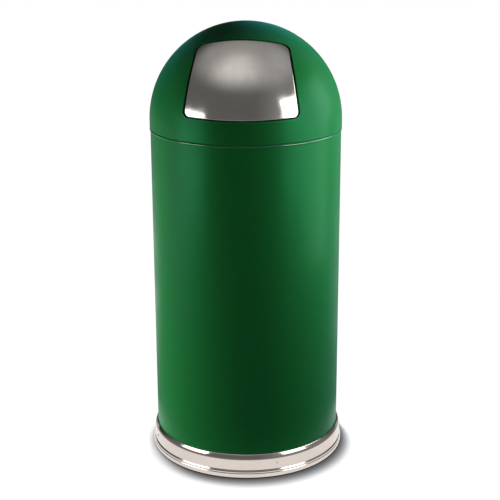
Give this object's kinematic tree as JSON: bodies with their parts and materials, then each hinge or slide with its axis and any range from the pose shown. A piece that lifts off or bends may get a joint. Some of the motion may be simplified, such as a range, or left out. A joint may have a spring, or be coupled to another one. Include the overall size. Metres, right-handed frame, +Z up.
{
  "type": "dome top waste receptacle",
  "caption": "Round steel waste bin with a half-round dome top, a push-in spring-closed door, a formed base ring and an inner lift-out liner with a bail.",
  "frame": {"origin": "on the floor at the middle of the round base", "axes": "+Z up along the bin's axis, -Y towards the door, +X to the right when seen from the front"},
  "size_m": [0.4, 0.4, 0.8875],
  "materials": {
    "green_paint": "satin powder coat",
    "stainless": "fine brushed and polished",
    "polished_stainless": "bright polished",
    "galvanised": "dull zinc spangle",
    "plain_steel": "zinc plated",
    "black_vinyl": "matt",
    "black_plastic": "satin",
    "nylon": "satin"
  },
  "bodies": {
    "bin_body": {"body_shell": "green_paint", "body_seam_strip": "green_paint", "body_floor": "green_paint", "base_ring": "polished_stainless", "base_ring_rivets": "polished_stainless", "floor_gasket": "black_vinyl"},
    "dome": {"dome_shell": "green_paint", "dome_collar": "plain_steel", "hinge_bracket_left": "plain_steel", "hinge_bracket_right": "plain_steel", "hinge_rod": "plain_steel", "hinge_rod_caps": "plain_steel", "stop_bumpers": "black_vinyl"},
    "door": {"door_panel": "stainless", "hinge_arm_left": "plain_steel", "hinge_arm_right": "plain_steel", "hinge_bushings": "nylon", "stop_lip": "plain_steel", "torsion_spring_left": "plain_steel", "torsion_spring_right": "plain_steel"},
    "liner": {"liner_wall": "galvanised", "liner_floor": "galvanised", "liner_rim": "galvanised", "liner_seam": "galvanised", "bail_ear_left": "galvanised", "bail_ear_right": "galvanised", "bail_ear_rivets": "galvanised"},
    "bail": {"bail_wire": "galvanised", "bail_grip": "black_plastic"}
  },
  "joints": [
    {"name": "dome_lift", "type": "slide", "parent": "bin_body", "child": "dome", "axis": [0, 0, 1], "range_m": [0, 0.9]},
    {"name": "door_hinge", "type": "hinge", "parent": "dome", "child": "door", "pos_m": [0, -0.07011, 0.83269], "axis": [1, 0, 0], "range_deg": [0, 60], "stiffness_Nm_per_rad": 0.25, "springref_deg": -80.21, "deforming": ["torsion_spring_left", "torsion_spring_right"]},
    {"name": "liner_lift", "type": "slide", "parent": "bin_body", "child": "liner", "axis": [0, 0, 1], "range_m": [0, 0.75]},
    {"name": "bail_swing", "type": "hinge", "parent": "liner", "child": "bail", "pos_m": [0, 0, 0.642], "axis": [1, 0, 0], "range_deg": [0, 208.4]}
  ],
  "couplings": [
    {"joint": "liner_lift", "follows": "dome_lift", "ratio": 0.8}
  ]
}
